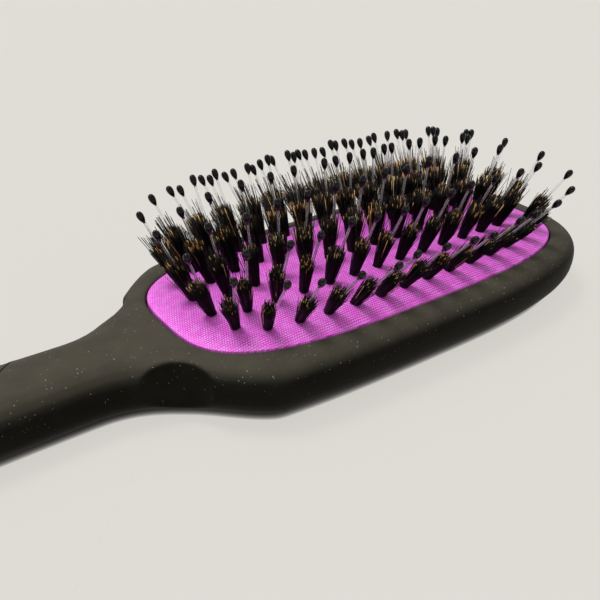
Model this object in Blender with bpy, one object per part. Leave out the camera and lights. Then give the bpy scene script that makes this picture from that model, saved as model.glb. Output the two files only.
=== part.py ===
"""Cushioned detangling brush, lying on its back with the bristles up.

A moulded frame carries an oval head and the front of the handle, and a rear grip is pushed onto
the frame's tang behind a slanted seam. The head holds a sprung air cushion faced with knit fabric.
Fourteen rows of tufts stand on the cushion, and each tuft is a ring of bristles round one taller
ball-tipped pin. Metres, +Z up, +X along the brush to the end of the head, Y across it, and the
origin on the table below the middle of the brush.
"""

import math

import bmesh
import bpy
from mathutils import Matrix, Vector

# Whole brush
GRIP_LENGTH = 0.0762
BODY_THICKNESS = 0.0153
CLEARANCE = 0.0003
CUT_OVERRUN = 0.002
MERGE_DISTANCE = 0.000003
SMOOTH_ANGLE = math.radians(35)

# Head outline
HEAD_LENGTH = 0.1306
HEAD_WIDTH = 0.066
HEAD_SQUARENESS = 3.0
SHOULDER_REACH = 0.086
SHOULDER_SQUARENESS = 3.0
SHOULDER_BLEND = 0.0155

# Neck and handle outline
NECK_START = 0.078
NECK_WIDTH = 0.021
FLARE_LENGTH = 0.018
FLARE_RISE = 0.0103
HANDLE_SWELL = 0.0013
SWELL_LENGTH = 0.06
BUTT_LENGTH = 0.015
BUTT_SQUARENESS = 2.2

# Rounding of the edges, at the head and as a share of the half width at the handle
HEAD_TOP_ROUND = 0.0065
HEAD_TOP_DROP = 0.005
HEAD_BACK_ROUND = 0.0115
HEAD_BACK_RISE = 0.0085
HANDLE_TOP_SHARE = 0.9
HANDLE_TOP_DROP = 0.0068
HANDLE_BACK_SHARE = 0.92
HANDLE_BACK_RISE = 0.0072
ROUND_BLEND_LENGTH = 0.024
OUTLINE_STEPS = 96
SAMPLES_PER_STEP = 24
TOP_ROUND_STEPS = 6
BACK_ROUND_STEPS = 7

# Thumb scoops in both sides of the neck
SCOOP_RADIUS = 0.0107
SCOOP_REACH = 0.0684
SCOOP_DEPTH_Y = 0.0114
SCOOP_TILT = math.radians(12)
SCOOP_SIDES = 64

# Slanted seam between the frame and the rear grip, and the tang that joins them
SEAM_REACH = 0.0965
SEAM_ANGLE = math.radians(48)
TANG_WIDTH = 0.009
TANG_HEIGHT = 0.0065
TANG_LENGTH = 0.024
TANG_ROOT = 0.012
TANG_CORNER = 0.002
TANG_CORNER_STEPS = 2

# Pocket for the cushion in the head
RIM_END_WIDTH = 0.00805
RIM_SIDE_WIDTH = 0.007
PAD_SQUARENESS = 3.3
POCKET_DEPTH = 0.0035
LEDGE_WIDTH = 0.0034
CHAMBER_SPARE = 0.0045
PAD_STEPS = 80

# Cushion
CROWN_HEIGHT = 0.0036
CROWN_SIDE_POWER = 2.6
CROWN_TOP_POWER = 0.75
EDGE_BAND = 0.004
EDGE_SINK = 0.0003
EDGE_STEPS = 3
FIELD_THICKNESS = 0.0015
FIELD_STEPS_ACROSS = 6
STRAIGHT_ROW_STEPS = 2
END_ROW_STEPS = 4
END_ROW_REACH_SHARE = 0.998

# Rows of tufts
STRAIGHT_ROWS = 12
STRAIGHT_SPAN_SHARE = 0.8365
END_ROW_SHARE = 0.898
END_ROW_CORNER_SHARE = 0.872
LANES_PER_SIDE = 2
TUFT_MARGIN = 0.0021
END_LANE_INNER_SHARE = 0.21
END_LANE_OUTER_SHARE = 0.61
SIDE_LEAN = math.radians(34)
END_LEAN = math.radians(25)
END_LEAN_POWER = 1.8

# Bristles: a ring of tapered strands in each tuft
STRANDS_PER_TUFT = 5
STRAND_SIDES = 3
STRAND_LENGTH = 0.012
STRAND_LENGTH_SPREAD_SHARE = 0.07
STRAND_WAVE_STEP = 2.4
TUFT_WAVE_STEP = 1.7
TUFT_TURN_SHARE = 0.37
STRAND_RADIUS = 0.00045
STRAND_TIP_RADIUS = 0.00034
TUFT_RADIUS = 0.001
TUFT_TIP_RADIUS = 0.00165
ROOT_DEPTH = 0.0009

# Pins: a stem and a drop-shaped ball tip
PIN_LENGTH = 0.0208
PIN_RADIUS = 0.0004
PIN_SIDES = 4
BALL_LENGTH = 0.0031
BALL_RADIUS = 0.00088
BALL_WIDEST_SHARE = 0.45
BALL_TOP_SHARE = 0.8
BALL_TOP_RADIUS_SHARE = 0.75

# Press of the cushion: the rows sink together by up to this much
PRESS_TRAVEL = 0.003

# Colours
SOFT_BLACK = (0.045, 0.042, 0.037)
MAGENTA = (0.6, 0.07, 0.55)
BRISTLE_BLACK = (0.012, 0.01, 0.009)
CLEAR_GREY = (0.3, 0.3, 0.31)

# Places that follow from the sizes above
HEAD_HALF_LENGTH = HEAD_LENGTH / 2
TOTAL_LENGTH = HEAD_HALF_LENGTH + SEAM_REACH + GRIP_LENGTH
HALF_LENGTH = TOTAL_LENGTH / 2
HEAD_HALF_WIDTH = HEAD_WIDTH / 2
HEAD_X = HALF_LENGTH - HEAD_HALF_LENGTH
NECK_HALF_WIDTH = NECK_WIDTH / 2
NECK_X = HEAD_X - NECK_START
BUTT_X = -HALF_LENGTH + BUTT_LENGTH
SEAM_X = HEAD_X - SEAM_REACH
RIM_TOP = BODY_THICKNESS
LEDGE_TOP = RIM_TOP - POCKET_DEPTH
PAD_HALF_LENGTH = HEAD_HALF_LENGTH - RIM_END_WIDTH
PAD_HALF_WIDTH = HEAD_HALF_WIDTH - RIM_SIDE_WIDTH
EDGE_OUTER_INSET = CLEARANCE
EDGE_INNER_INSET = EDGE_OUTER_INSET + EDGE_BAND
FIELD_INSET = EDGE_INNER_INSET + CLEARANCE
FIELD_HALF_LENGTH = PAD_HALF_LENGTH - FIELD_INSET
FIELD_BOTTOM = RIM_TOP - FIELD_THICKNESS
CHAMBER_FLOOR = FIELD_BOTTOM - PRESS_TRAVEL - CHAMBER_SPARE
SIDE_LANE = PAD_HALF_WIDTH - FIELD_INSET - TUFT_MARGIN
ROW_PITCH = 2 * FIELD_HALF_LENGTH * STRAIGHT_SPAN_SHARE / STRAIGHT_ROWS
END_ROW_OFFSET = FIELD_HALF_LENGTH * END_ROW_SHARE
END_ROW_CORNER_OFFSET = FIELD_HALF_LENGTH * END_ROW_CORNER_SHARE
END_LANE_INNER = SIDE_LANE * END_LANE_INNER_SHARE
END_LANE_OUTER = SIDE_LANE * END_LANE_OUTER_SHARE


def clear_scene():
    for thing in list(bpy.data.objects):
        bpy.data.objects.remove(thing, do_unlink=True)


def make_material(name, colour, roughness, metallic=0.0):
    material = bpy.data.materials.new(name)
    material.use_nodes = True
    shader = material.node_tree.nodes["Principled BSDF"]
    shader.inputs["Base Color"].default_value = (*colour, 1.0)
    shader.inputs["Roughness"].default_value = roughness
    shader.inputs["Metallic"].default_value = metallic
    return material


def add_object(name, bm, materials):
    bmesh.ops.remove_doubles(bm, verts=bm.verts, dist=MERGE_DISTANCE)
    bmesh.ops.recalc_face_normals(bm, faces=bm.faces)
    mesh = bpy.data.meshes.new(name)
    bm.to_mesh(mesh)
    bm.free()
    for material in materials:
        mesh.materials.append(material)
    mesh.shade_smooth()
    mesh.set_sharp_from_angle(angle=SMOOTH_ANGLE)
    thing = bpy.data.objects.new(name, mesh)
    bpy.context.scene.collection.objects.link(thing)
    return thing


def hide_tool(tool):
    tool.hide_render = True
    tool.display_type = "WIRE"


def combine(target, tool, operation):
    hide_tool(tool)
    step = target.modifiers.new(f"{operation.lower()} {tool.name}", "BOOLEAN")
    step.operation = operation
    step.object = tool
    step.solver = "EXACT"
    step.material_mode = "TRANSFER"


def smooth_step(share):
    share = min(max(share, 0.0), 1.0)
    return share * share * (3 - 2 * share)


def smooth_min(first, second, blend):
    if blend <= 0:
        return min(first, second)
    reach = max(blend - abs(first - second), 0.0) / blend
    return min(first, second) - reach * reach * blend / 4


def rounded(share, squareness):
    """Height of a rounded box of half size 1 at a share of its half length."""
    return max(1 - abs(share) ** squareness, 0.0) ** (1 / squareness)


def handle_half_width(x):
    swell = smooth_step((NECK_X - x) / SWELL_LENGTH) * HANDLE_SWELL
    width = NECK_HALF_WIDTH + swell
    if x < BUTT_X:
        width *= rounded((BUTT_X - x) / BUTT_LENGTH, BUTT_SQUARENESS)
    return width


def half_width(x):
    """Half width of the brush, seen from above, at a place along it."""
    if x >= HEAD_X:
        return HEAD_HALF_WIDTH * rounded((x - HEAD_X) / HEAD_HALF_LENGTH, HEAD_SQUARENESS)
    if x <= NECK_X:
        return handle_half_width(x)
    shoulder = HEAD_HALF_WIDTH * rounded((HEAD_X - x) / SHOULDER_REACH, SHOULDER_SQUARENESS)
    flare_share = (x - NECK_X) / FLARE_LENGTH
    flare = NECK_HALF_WIDTH + FLARE_RISE * flare_share**2
    return smooth_min(shoulder, flare, SHOULDER_BLEND * min(flare_share, 1.0))


def even_stations():
    """Points of one side of the outline, from the butt to the end of the head, evenly spaced."""
    fine = OUTLINE_STEPS * SAMPLES_PER_STEP
    places = []
    for i in range(fine + 1):
        x = -HALF_LENGTH * math.cos(math.pi * i / fine)
        places.append(Vector((x, half_width(x))))
    places[0].y = 0.0
    places[-1].y = 0.0
    walked = [0.0]
    for before, after in zip(places, places[1:]):
        walked.append(walked[-1] + (after - before).length)
    stations = []
    at = 0
    for i in range(OUTLINE_STEPS + 1):
        goal = walked[-1] * i / OUTLINE_STEPS
        while at < fine - 1 and walked[at + 1] < goal:
            at += 1
        share = (goal - walked[at]) / (walked[at + 1] - walked[at])
        stations.append(places[at].lerp(places[at + 1], min(share, 1.0)))
    return stations


def inward_steps(stations):
    """For each station, the inward unit normal and the way to the handle's spine."""
    steps = []
    last = len(stations) - 1
    for i, place in enumerate(stations):
        if i == 0:
            normal = Vector((1.0, 0.0))
        elif i == last:
            normal = Vector((-1.0, 0.0))
        else:
            along = (stations[i + 1] - stations[i - 1]).normalized()
            normal = Vector((along.y, -along.x))
        spine = Vector((max(place.x, BUTT_X), 0.0))
        steps.append((normal, spine - place))
    return steps


def body_layers():
    """Each layer's inset and height at the head, then its inset share and height at the handle."""
    layers = []
    for j in range(BACK_ROUND_STEPS + 1):
        turn = math.pi / 2 * j / BACK_ROUND_STEPS
        inset = 1 - math.sin(turn)
        rise = 1 - math.cos(turn)
        layers.append(
            (
                HEAD_BACK_ROUND * inset,
                HEAD_BACK_RISE * rise,
                HANDLE_BACK_SHARE * inset,
                HANDLE_BACK_RISE * rise,
            )
        )
    for j in range(TOP_ROUND_STEPS + 1):
        turn = math.pi / 2 * j / TOP_ROUND_STEPS
        inset = 1 - math.cos(turn)
        drop = 1 - math.sin(turn)
        layers.append(
            (
                HEAD_TOP_ROUND * inset,
                BODY_THICKNESS - HEAD_TOP_DROP * drop,
                HANDLE_TOP_SHARE * inset,
                BODY_THICKNESS - HANDLE_TOP_DROP * drop,
            )
        )
    return layers


def body_mesh():
    """The whole outer form of frame and grip as one closed skin."""
    stations = even_stations()
    steps = inward_steps(stations)
    last = len(stations) - 1
    bm = bmesh.new()
    rings = []
    for head_inset, head_height, handle_share, handle_height in body_layers():
        side = []
        for place, (normal, to_spine) in zip(stations, steps):
            blend = smooth_step((NECK_X + ROUND_BLEND_LENGTH - place.x) / ROUND_BLEND_LENGTH)
            shift = normal * head_inset * (1 - blend) + to_spine * handle_share * blend
            height = head_height * (1 - blend) + handle_height * blend
            moved = place + shift
            side.append(Vector((moved.x, max(moved.y, 0.0), height)))
        left = [bm.verts.new(p) for p in side]
        right = [left[0]]
        right += [bm.verts.new((p.x, -p.y, p.z)) for p in side[1:last]]
        right.append(left[last])
        rings.append((left, right))
    for lower, upper in zip(rings, rings[1:]):
        for i in range(last):
            bm.faces.new((lower[0][i], upper[0][i], upper[0][i + 1], lower[0][i + 1]))
            bm.faces.new((lower[1][i], lower[1][i + 1], upper[1][i + 1], upper[1][i]))
    for left, right in (rings[0], rings[-1]):
        bm.faces.new((left[0], left[1], right[1]))
        bm.faces.new((left[last], left[last - 1], right[last - 1]))
        for i in range(1, last - 1):
            bm.faces.new((left[i], left[i + 1], right[i + 1], right[i]))
    bmesh.ops.recalc_face_normals(bm, faces=bm.faces)
    return bm


def seam_normal():
    """Unit normal of the seam plane, pointing to the head."""
    return Vector((math.sin(SEAM_ANGLE), -math.cos(SEAM_ANGLE), 0.0))


def cut_body(keep_head):
    """The part of the body on one side of the seam, with its cut face closed."""
    bm = body_mesh()
    away = -seam_normal() if keep_head else seam_normal()
    place = Vector((SEAM_X, 0.0, 0.0)) - away * CLEARANCE / 2
    geometry = bm.verts[:] + bm.edges[:] + bm.faces[:]
    cut = bmesh.ops.bisect_plane(
        bm,
        geom=geometry,
        plane_co=place,
        plane_no=away,
        clear_outer=True,
        dist=MERGE_DISTANCE,
    )
    rim = [e for e in cut["geom_cut"] if isinstance(e, bmesh.types.BMEdge)]
    bmesh.ops.edgeloop_fill(bm, edges=rim)
    return bm


def tang_mesh(margin):
    """The tang, or with a margin the socket that takes it."""
    half_width_y = TANG_WIDTH / 2 + margin
    half_height = TANG_HEIGHT / 2 + margin
    start = SEAM_X + TANG_ROOT
    length = TANG_ROOT + TANG_LENGTH + margin
    bm = bmesh.new()
    bmesh.ops.create_cube(bm, size=1.0)
    scale = Matrix.Diagonal((length, 2 * half_width_y, 2 * half_height, 1.0))
    middle = Matrix.Translation((start - length / 2, 0.0, BODY_THICKNESS / 2))
    bmesh.ops.transform(bm, matrix=middle @ scale, verts=bm.verts)
    long_edges = [e for e in bm.edges if abs((e.verts[0].co - e.verts[1].co).x) > length / 2]
    bmesh.ops.bevel(
        bm,
        geom=long_edges,
        offset=TANG_CORNER,
        segments=TANG_CORNER_STEPS,
        affect="EDGES",
    )
    return bm


def scoop_mesh(side):
    """A leaning round cutter beside the neck, on the side given by a sign."""
    reach = BODY_THICKNESS + 2 * CUT_OVERRUN
    bm = bmesh.new()
    bmesh.ops.create_cone(
        bm,
        cap_ends=True,
        segments=SCOOP_SIDES,
        radius1=SCOOP_RADIUS,
        radius2=SCOOP_RADIUS,
        depth=2 * reach,
    )
    lean = Matrix.Rotation(side * SCOOP_TILT, 4, "X")
    y = side * (SCOOP_DEPTH_Y + SCOOP_RADIUS)
    place = Matrix.Translation((HEAD_X - SCOOP_REACH, y, BODY_THICKNESS))
    bmesh.ops.transform(bm, matrix=place @ lean, verts=bm.verts)
    return bm


def pad_ring(inset, height):
    """A level ring of points round the cushion's outline, moved in by an inset."""
    half_length = PAD_HALF_LENGTH - inset
    half_wide = PAD_HALF_WIDTH - inset
    power = 2 / PAD_SQUARENESS
    ring = []
    for i in range(PAD_STEPS):
        turn = 2 * math.pi * i / PAD_STEPS
        cosine = math.cos(turn)
        sine = math.sin(turn)
        x = half_length * math.copysign(abs(cosine) ** power, cosine)
        y = half_wide * math.copysign(abs(sine) ** power, sine)
        ring.append(Vector((HEAD_X + x, y, height)))
    return ring


def crown(x, y):
    """Height of the cushion's surface over a place."""
    along = abs((x - HEAD_X) / PAD_HALF_LENGTH) ** PAD_SQUARENESS
    across = abs(y / PAD_HALF_WIDTH) ** PAD_SQUARENESS
    reach = min((along + across) ** (1 / PAD_SQUARENESS), 1.0)
    rise = (1 - reach**CROWN_SIDE_POWER) ** CROWN_TOP_POWER
    return RIM_TOP - EDGE_SINK + CROWN_HEIGHT * rise


def skin_rings(bm, rings, closed):
    """Skins a list of point rings; closed joins the last ring to the first."""
    made = [[bm.verts.new(p) for p in ring] for ring in rings]
    pairs = list(zip(made, made[1:]))
    if closed:
        pairs.append((made[-1], made[0]))
    count = len(made[0])
    for lower, upper in pairs:
        for i in range(count):
            k = (i + 1) % count
            bm.faces.new((lower[i], lower[k], upper[k], upper[i]))
    if not closed:
        bm.faces.new(list(reversed(made[0])))
        bm.faces.new(made[-1])


def pocket_mesh():
    """Cutter for the cushion's seat with the air chamber below it."""
    bm = bmesh.new()
    rings = [
        pad_ring(LEDGE_WIDTH, CHAMBER_FLOOR),
        pad_ring(LEDGE_WIDTH, LEDGE_TOP),
        pad_ring(0.0, LEDGE_TOP),
        pad_ring(0.0, RIM_TOP + CUT_OVERRUN),
    ]
    skin_rings(bm, rings, closed=False)
    return bm


def edge_mesh():
    """The cushion's sloping edge, from the rim up to the rows of tufts."""
    bm = bmesh.new()
    rings = [pad_ring(EDGE_OUTER_INSET, LEDGE_TOP + CLEARANCE)]
    for j in range(EDGE_STEPS + 1):
        inset = EDGE_OUTER_INSET + EDGE_BAND * j / EDGE_STEPS
        ring = pad_ring(inset, 0.0)
        for p in ring:
            p.z = crown(p.x, p.y)
        rings.append(ring)
    rings.append(pad_ring(EDGE_INNER_INSET, FIELD_BOTTOM))
    rings.append(pad_ring(LEDGE_WIDTH, LEDGE_TOP + CLEARANCE))
    skin_rings(bm, rings, closed=True)
    return bm


def field_half_width(x):
    """Half width of the field of rows, on the straight edges between its outline's points."""
    side = [p for p in pad_ring(FIELD_INSET, 0.0) if p.y >= 0]
    side.sort(key=lambda p: p.x)
    for before, after in zip(side, side[1:]):
        if before.x <= x <= after.x:
            share = (x - before.x) / (after.x - before.x)
            return before.y + (after.y - before.y) * share
    return 0.0


def row_mesh(start, end, steps):
    """A slice of the cushion between two places along it, crowned on top and flat below."""
    half_gap = CLEARANCE / 2
    near = start + half_gap
    far = end - half_gap
    columns = []
    for i in range(steps + 1):
        x = near + (far - near) * i / steps
        wide = field_half_width(x)
        column = []
        for j in range(FIELD_STEPS_ACROSS + 1):
            y = wide * (2 * j / FIELD_STEPS_ACROSS - 1)
            column.append(Vector((x, y, crown(x, y))))
        columns.append(column)
    bm = bmesh.new()
    top = [[bm.verts.new(p) for p in column] for column in columns]
    for i in range(steps):
        for j in range(FIELD_STEPS_ACROSS):
            bm.faces.new((top[i][j], top[i + 1][j], top[i + 1][j + 1], top[i][j + 1]))
    border = [top[i][0] for i in range(steps + 1)]
    border += top[-1][1:]
    border += [top[i][-1] for i in range(steps - 1, -1, -1)]
    border += [top[0][j] for j in range(FIELD_STEPS_ACROSS - 1, 0, -1)]
    below = [bm.verts.new((v.co.x, v.co.y, FIELD_BOTTOM)) for v in border]
    count = len(border)
    for i in range(count):
        k = (i + 1) % count
        bm.faces.new((border[k], border[i], below[i], below[k]))
    bm.faces.new(list(reversed(below)))
    return bm


def lean_direction(x, y):
    """Unit direction of a tuft: rows fan out to the sides, and the end rows also lean outward."""
    side = SIDE_LEAN * y / SIDE_LANE
    reach = (x - HEAD_X) / END_ROW_OFFSET
    end = math.copysign(END_LEAN * abs(reach) ** END_LEAN_POWER, reach)
    return Vector((math.tan(end), math.tan(side), 1.0)).normalized()


def add_spindle(bm, centre, direction, stops, sides, phase, material_index):
    """A closed round-ish spindle: stops are pairs of distance and radius; radius zero is a point."""
    first = direction.orthogonal().normalized()
    second = direction.cross(first)
    rings = []
    for distance, radius in stops:
        middle = centre + direction * distance
        if radius == 0:
            rings.append([bm.verts.new(middle)])
            continue
        ring = []
        for i in range(sides):
            turn = phase + 2 * math.pi * i / sides
            offset = first * math.cos(turn) + second * math.sin(turn)
            ring.append(bm.verts.new(middle + offset * radius))
        rings.append(ring)
    faces = [bm.faces.new(list(reversed(rings[0])))]
    for lower, upper in zip(rings, rings[1:]):
        for i in range(sides):
            k = (i + 1) % sides
            if len(upper) == 1:
                faces.append(bm.faces.new((lower[i], lower[k], upper[0])))
            else:
                faces.append(bm.faces.new((lower[i], lower[k], upper[k], upper[i])))
    if len(rings[-1]) > 1:
        faces.append(bm.faces.new(rings[-1]))
    for face in faces:
        face.material_index = material_index


def add_tuft(bm, x, y, number):
    """One tuft: strands in a ring that opens upward, round a pin with a drop-shaped tip."""
    direction = lean_direction(x, y)
    foot = Vector((x, y, crown(x, y)))
    first = direction.orthogonal().normalized()
    second = direction.cross(first)
    for i in range(STRANDS_PER_TUFT):
        turn = 2 * math.pi * (i + number * TUFT_TURN_SHARE) / STRANDS_PER_TUFT
        outward = first * math.cos(turn) + second * math.sin(turn)
        wave = math.sin(STRAND_WAVE_STEP * i + TUFT_WAVE_STEP * number)
        length = STRAND_LENGTH * (1 + STRAND_LENGTH_SPREAD_SHARE * wave)
        base = foot + outward * TUFT_RADIUS
        tip = foot + outward * TUFT_TIP_RADIUS + direction * length
        way = (tip - base).normalized()
        stops = ((-ROOT_DEPTH, STRAND_RADIUS), (length, STRAND_TIP_RADIUS))
        add_spindle(bm, base, way, stops, STRAND_SIDES, turn, 0)
    neck = PIN_LENGTH - BALL_LENGTH
    pin_stops = (
        (-ROOT_DEPTH, PIN_RADIUS),
        (neck, PIN_RADIUS),
        (neck + BALL_LENGTH * BALL_WIDEST_SHARE, BALL_RADIUS),
        (neck + BALL_LENGTH * BALL_TOP_SHARE, BALL_RADIUS * BALL_TOP_RADIUS_SHARE),
        (PIN_LENGTH, 0),
    )
    add_spindle(bm, foot, direction, pin_stops, PIN_SIDES, 0.0, 1)


def row_plan():
    """For each row: where its slice starts and ends, its steps along, and its tufts' places."""
    half_count = STRAIGHT_ROWS // 2
    plan = []
    for row in range(STRAIGHT_ROWS):
        start = HEAD_X + (row - half_count) * ROW_PITCH
        x = start + ROW_PITCH / 2
        lane = (field_half_width(x) - TUFT_MARGIN) / LANES_PER_SIDE
        tufts = [(x, lane * k) for k in range(-LANES_PER_SIDE, LANES_PER_SIDE + 1)]
        plan.append((start, start + ROW_PITCH, STRAIGHT_ROW_STEPS, tufts))
    edge = half_count * ROW_PITCH
    end_reach = FIELD_HALF_LENGTH * END_ROW_REACH_SHARE
    corners = ((END_ROW_CORNER_OFFSET, END_LANE_OUTER), (END_ROW_OFFSET, END_LANE_INNER))
    for side in (-1, 1):
        start, end = sorted((HEAD_X + side * edge, HEAD_X + side * end_reach))
        tufts = [(HEAD_X + side * x, sign * y) for x, y in corners for sign in (-1, 1)]
        plan.insert(0 if side < 0 else len(plan), (start, end, END_ROW_STEPS, tufts))
    return plan


def build_frame(soft_black):
    frame = add_object("brush_frame", cut_body(keep_head=True), [soft_black])
    combine(frame, add_object("cut_pocket", pocket_mesh(), [soft_black]), "DIFFERENCE")
    for side, label in ((-1, "near"), (1, "far")):
        scoop = add_object(f"cut_scoop_{label}", scoop_mesh(side), [soft_black])
        combine(frame, scoop, "DIFFERENCE")
    combine(frame, add_object("add_tang", tang_mesh(0.0), [soft_black]), "UNION")


def build_grip(soft_black):
    grip = add_object("rear_grip", cut_body(keep_head=False), [soft_black])
    combine(grip, add_object("cut_socket", tang_mesh(CLEARANCE), [soft_black]), "DIFFERENCE")


def build_rows(knit, bristle, pin):
    field = bpy.data.objects.new("bristle_field", None)
    field.location = (HEAD_X, 0.0, FIELD_BOTTOM)
    bpy.context.scene.collection.objects.link(field)
    number = 0
    for index, (start, end, steps, tufts) in enumerate(row_plan(), start=1):
        row = add_object(f"tuft_row_{index:02d}", row_mesh(start, end, steps), [knit])
        strands = bmesh.new()
        for x, y in tufts:
            add_tuft(strands, x, y, number)
            number += 1
        tool = add_object(f"strands_{index:02d}", strands, [bristle, pin])
        combine(row, tool, "UNION")
        for thing in (row, tool):
            thing.parent = field
            thing.matrix_parent_inverse = Matrix.Translation(-field.location)


def main():
    clear_scene()
    soft_black = make_material("soft touch black", SOFT_BLACK, 0.55)
    knit = make_material("magenta knit", MAGENTA, 0.8)
    bristle = make_material("black bristle", BRISTLE_BLACK, 0.45)
    pin = make_material("clear nylon", CLEAR_GREY, 0.2)
    build_frame(soft_black)
    build_grip(soft_black)
    add_object("cushion_edge", edge_mesh(), [knit])
    build_rows(knit, bristle, pin)


main()
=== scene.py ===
# %% [markdown]
# # A cushioned detangling brush
#
# The brush lies on its back: a black soft-touch body, a magenta air cushion, tufts of bristle and
# clear pins with black drops on their ends. The solids are already modelled at true size, so this
# lesson only dresses them.

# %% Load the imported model
import math
import random

import bmesh
import bpy
from mathutils import Matrix, Vector


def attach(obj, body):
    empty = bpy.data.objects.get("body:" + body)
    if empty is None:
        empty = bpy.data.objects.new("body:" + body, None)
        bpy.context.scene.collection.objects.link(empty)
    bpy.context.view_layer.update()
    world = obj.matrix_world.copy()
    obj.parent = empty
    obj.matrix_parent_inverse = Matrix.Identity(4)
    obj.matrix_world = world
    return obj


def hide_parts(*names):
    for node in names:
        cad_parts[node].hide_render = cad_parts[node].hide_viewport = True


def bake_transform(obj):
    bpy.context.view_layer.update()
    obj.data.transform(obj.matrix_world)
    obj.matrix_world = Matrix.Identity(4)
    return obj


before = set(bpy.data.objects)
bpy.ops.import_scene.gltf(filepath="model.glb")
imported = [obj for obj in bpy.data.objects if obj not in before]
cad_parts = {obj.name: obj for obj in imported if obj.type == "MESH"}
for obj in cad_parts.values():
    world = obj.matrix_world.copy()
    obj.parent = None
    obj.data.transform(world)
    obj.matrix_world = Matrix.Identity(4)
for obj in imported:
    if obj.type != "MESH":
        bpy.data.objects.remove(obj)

scene = bpy.context.scene
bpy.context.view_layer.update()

# %% [markdown]
# ## Camera
#
# The picture looks at the brush from the near left, about thirty degrees down. A camera can be aimed
# by eye with a Track To constraint, but here its turn is written as three rotations in order: the
# heading, the tilt and a hair of roll. That keeps the picture's exact frame, which was fitted to
# corners that both the picture and the solids have.

# %% Camera
CAMERA_PLACE = Vector((-0.0723, -0.1463, 0.1124))
CAMERA_HEADING = 0.627
CAMERA_TILT = 0.519
CAMERA_ROLL = 0.009
SENSOR_WIDTH_MM = 36.0
LENS_MM = 50.0
NEAREST_SEEN = 0.01

lens = bpy.data.cameras.new("photo_view")
lens.sensor_width = SENSOR_WIDTH_MM
lens.lens = LENS_MM
lens.clip_start = NEAREST_SEEN
camera = bpy.data.objects.new("photo_view", lens)
scene.collection.objects.link(camera)
heading = Matrix.Rotation(-CAMERA_HEADING, 4, "Z")
tilt = Matrix.Rotation(math.pi / 2 - CAMERA_TILT, 4, "X")
roll = Matrix.Rotation(CAMERA_ROLL, 4, "Z")
camera.matrix_world = Matrix.Translation(CAMERA_PLACE) @ heading @ tilt @ roll
scene.camera = camera
print("camera stands", round(1000 * CAMERA_PLACE.z), "mm above the table")

# %% [markdown]
# ## Small helpers for nodes
#
# Materials are trees of nodes, and writing one link at a time gets long. A helper that adds a node,
# sets its options and fills each input with either a value or another node's output makes a tree
# read like a sum. A few short ones on top of it stand for the nodes that come back again and again:
# a sum, a product, a smooth step, a mix of two colours, a noise and a bump.

# %% Helpers for nodes
NODE_COLUMNS = 12
NODE_STEP_X = 200
NODE_STEP_Y = 260


def feed(tree, node, feeds):
    """Fills a node's inputs: an output of another node is linked, any other value is set."""
    for label, value in feeds.items():
        socket = node.inputs[label]
        if isinstance(value, bpy.types.NodeSocket):
            tree.links.new(value, socket)
        else:
            socket.default_value = (*value, 1.0) if socket.type == "RGBA" else value


def add_node(tree, kind, options, feeds):
    """One node: options are its settings, feeds fill its inputs."""
    made = tree.nodes.new(kind)
    row, column = divmod(len(tree.nodes), NODE_COLUMNS)
    made.location = (NODE_STEP_X * column, -NODE_STEP_Y * row)
    for label, value in options.items():
        setattr(made, label, value)
    feed(tree, made, feeds)
    return made


def sum_node(tree, operation, first, second=0.0, third=0.0):
    """The output of a Math node."""
    feeds = {0: first, 1: second, 2: third}
    return add_node(tree, "ShaderNodeMath", {"operation": operation}, feeds).outputs[0]


def scaled(tree, value, by, plus=0.0):
    """A value times another, plus a third."""
    return sum_node(tree, "MULTIPLY_ADD", value, by, plus)


def ramp_node(tree, value, low, high, to_low=0.0, to_high=1.0):
    """A smooth step: to_low where the value is low or less, to_high where it is high or more."""
    feeds = {"Value": value, "From Min": low, "From Max": high, "To Min": to_low, "To Max": to_high}
    options = {"interpolation_type": "SMOOTHSTEP"}
    return add_node(tree, "ShaderNodeMapRange", options, feeds).outputs[0]


def mix_colour(tree, share, first, second):
    """The first colour where the share is 0 and the second where it is 1."""
    feeds = {0: share, 6: first, 7: second}
    return add_node(tree, "ShaderNodeMix", {"data_type": "RGBA"}, feeds).outputs[2]


def noise_node(tree, place, scale, detail, roughness=0.5, distortion=0.0, dimensions="3D"):
    """Cloudy noise from 0 to 1."""
    feeds = {"Vector": place, "Scale": scale, "Detail": detail, "Roughness": roughness,
             "Distortion": distortion}
    return add_node(tree, "ShaderNodeTexNoise", {"noise_dimensions": dimensions}, feeds).outputs[0]


def bump_node(tree, height, strength, distance):
    """A normal bent by a height."""
    feeds = {"Height": height, "Strength": strength, "Distance": distance}
    return add_node(tree, "ShaderNodeBump", {}, feeds).outputs[0]


def object_place(tree):
    """The place of a point in metres."""
    return add_node(tree, "ShaderNodeTexCoord", {}, {}).outputs["Object"]


def stored(tree, name):
    """A number that the mesh carries at each point."""
    return add_node(tree, "ShaderNodeAttribute", {"attribute_name": name}, {}).outputs["Fac"]


print("node helpers ready")

# %% [markdown]
# A finish that several materials share becomes a node group: it is built once, with named inputs and
# outputs, and each material places it with its own values. The material keeps its shader.

# %% Helpers for groups and materials
def open_group(name, place, numbers, outputs):
    """A new node group: its place input, its number inputs with usual values, and its outputs."""
    group = bpy.data.node_groups.new(name, "ShaderNodeTree")
    group.interface.new_socket(place, in_out="INPUT", socket_type="NodeSocketVector")
    for label, value in numbers.items():
        socket = group.interface.new_socket(label, in_out="INPUT", socket_type="NodeSocketFloat")
        socket.default_value = value
    for label in outputs:
        group.interface.new_socket(label, in_out="OUTPUT", socket_type="NodeSocketFloat")
    entry = group.nodes.new("NodeGroupInput")
    leave = group.nodes.new("NodeGroupOutput")
    leave.location = (NODE_STEP_X * (NODE_COLUMNS + 1), 0)
    return group, entry.outputs, leave


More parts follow.
